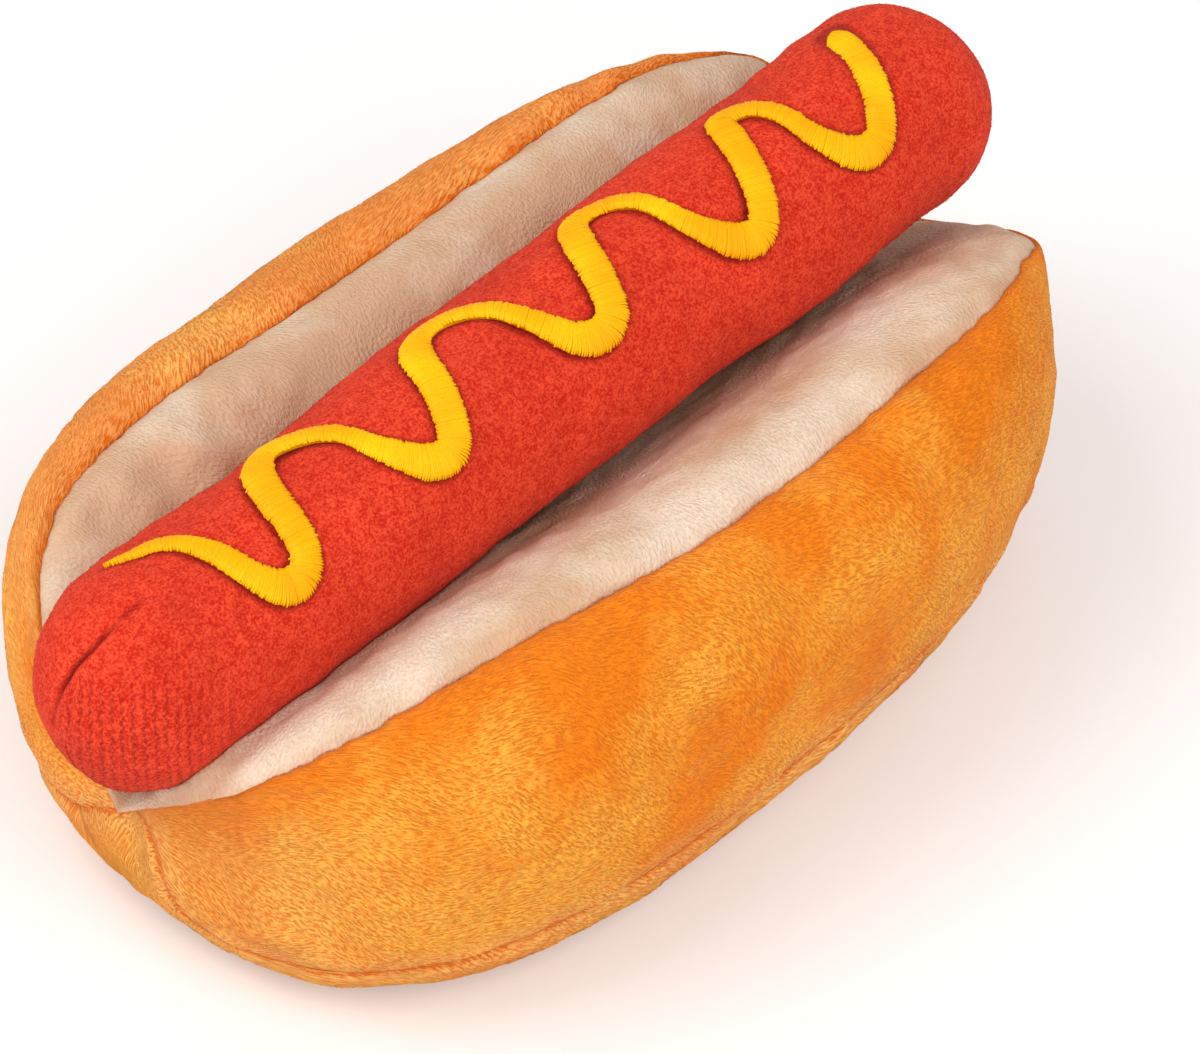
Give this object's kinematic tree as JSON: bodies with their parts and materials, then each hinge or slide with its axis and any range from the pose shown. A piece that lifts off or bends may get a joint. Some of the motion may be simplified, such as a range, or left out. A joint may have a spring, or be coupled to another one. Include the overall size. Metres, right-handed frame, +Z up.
{
  "type": "plush dog toy",
  "caption": "Plush hot dog chew toy: a stuffed pile-fabric bun with two lined lobes that open round a knit sausage with embroidered mustard and a squeaker.",
  "frame": {"origin": "on the floor plane z = 0, under the middle of the sausage's length and on the bun's middle plane", "axes": "+X along the sausage from its near end to its far end, +Z up, the right lobe towards -Y"},
  "size_m": [0.211, 0.1236, 0.0876],
  "materials": {
    "bun_plush": "orange short-pile plush with brushed nap",
    "lining_plush": "cream short-pile plush",
    "sausage_knit": "red brushed knit velour",
    "mustard_thread": "yellow rayon satin stitch",
    "fibre_filling": "white polyester fibre filling",
    "stabiliser": "white non-woven",
    "tack_thread": "red sewing thread",
    "squeaker_plastic": "soft blow-moulded polyethylene",
    "whistle_plastic": "hard injection-moulded plastic"
  },
  "bodies": {
    "base": {"bun_base_panel": "bun_plush", "base_filling": "fibre_filling", "bun_side_right": "bun_plush", "bun_side_left": "bun_plush", "flank_wadding_right": "fibre_filling", "flank_wadding_left": "fibre_filling", "sausage_cover": "sausage_knit", "sausage_filling_near": "fibre_filling", "sausage_filling_far": "fibre_filling", "mustard_embroidery": "mustard_thread", "embroidery_backing": "stabiliser", "anchor_tack_1": "tack_thread", "anchor_tack_2": "tack_thread", "anchor_tack_3": "tack_thread", "squeaker_bulb": "squeaker_plastic", "squeaker_whistle": "whistle_plastic", "squeaker_reed": "whistle_plastic"},
    "lobe_right": {"lobe_filling_right": "fibre_filling", "bun_lining_right": "lining_plush"},
    "lobe_left": {"lobe_filling_left": "fibre_filling", "bun_lining_left": "lining_plush"}
  },
  "joints": [
    {"name": "right_lobe_flex", "type": "hinge", "parent": "base", "child": "lobe_right", "pos_m": [0, -0.001, 0.038], "axis": [1, 0, 0], "range_deg": [0, 12], "stiffness_Nm_per_rad": 0.4, "springref_deg": -11.46, "deforming": ["bun_side_right", "flank_wadding_right"]},
    {"name": "left_lobe_flex", "type": "hinge", "parent": "base", "child": "lobe_left", "pos_m": [0, 0.001, 0.038], "axis": [-1, 0, 0], "range_deg": [0, 12], "stiffness_Nm_per_rad": 0.4, "springref_deg": -11.46, "deforming": ["bun_side_left", "flank_wadding_left"]}
  ]
}
